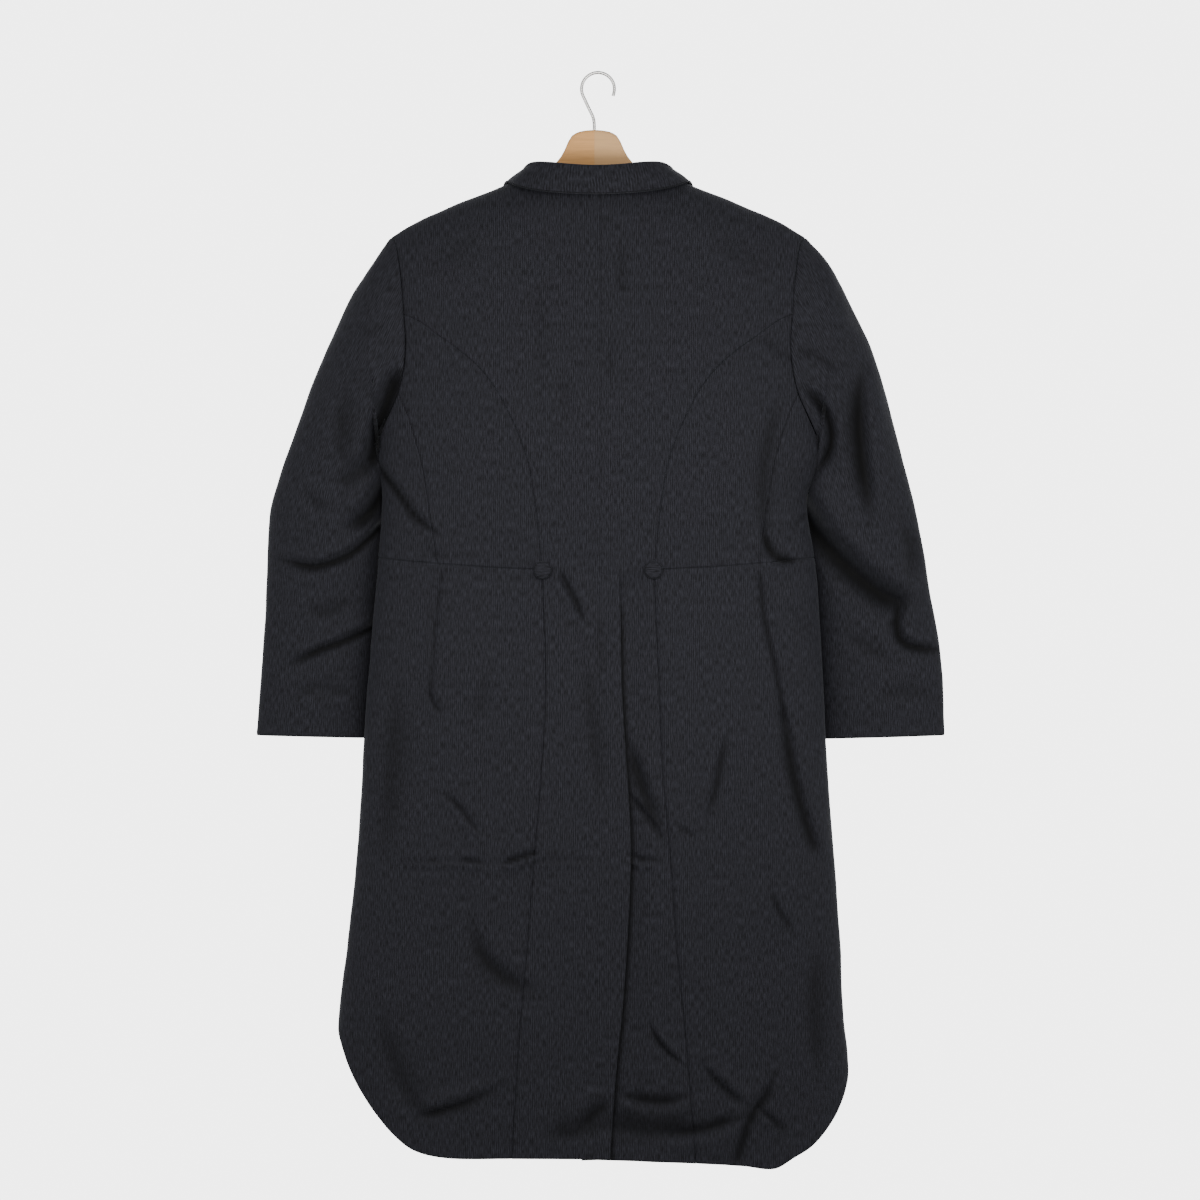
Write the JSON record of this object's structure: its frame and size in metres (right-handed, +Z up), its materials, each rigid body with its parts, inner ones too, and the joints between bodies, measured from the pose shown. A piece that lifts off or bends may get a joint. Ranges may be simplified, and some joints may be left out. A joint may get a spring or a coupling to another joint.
{
  "type": "morning tailcoat on wooden hanger",
  "caption": "Dark tailcoat with cutaway front, two-piece sleeves and covered waist buttons, hung on a wooden hanger with a wire hook.",
  "frame": {"origin": "inside top of the hanger's hook, where a rod or nail carries it", "axes": "+Z up; the back of the coat faces -Y and its front faces +Y; +X is the right of a viewer behind the coat, so it is the wearer's right"},
  "size_m": [0.7597, 0.124, 1.2028],
  "materials": {
    "suiting": "fine worsted with a faint vertical self-stripe",
    "button_cloth": "cloth-covered",
    "wood": "satin varnish",
    "steel": "bright wire"
  },
  "bodies": {
    "root": {"back_left": "suiting", "back_right": "suiting", "side_body_left": "suiting", "side_body_right": "suiting", "forepart_left": "suiting", "forepart_right": "suiting", "skirt_left": "suiting", "skirt_right": "suiting", "lapel_left": "suiting", "lapel_right": "suiting", "top_sleeve_left": "suiting", "top_sleeve_right": "suiting", "under_sleeve_left": "suiting", "under_sleeve_right": "suiting", "collar": "suiting", "waist_button_left": "button_cloth", "waist_button_right": "button_cloth", "front_button": "button_cloth", "hanger": "wood", "hook": "steel"}
  },
  "joints": []
}
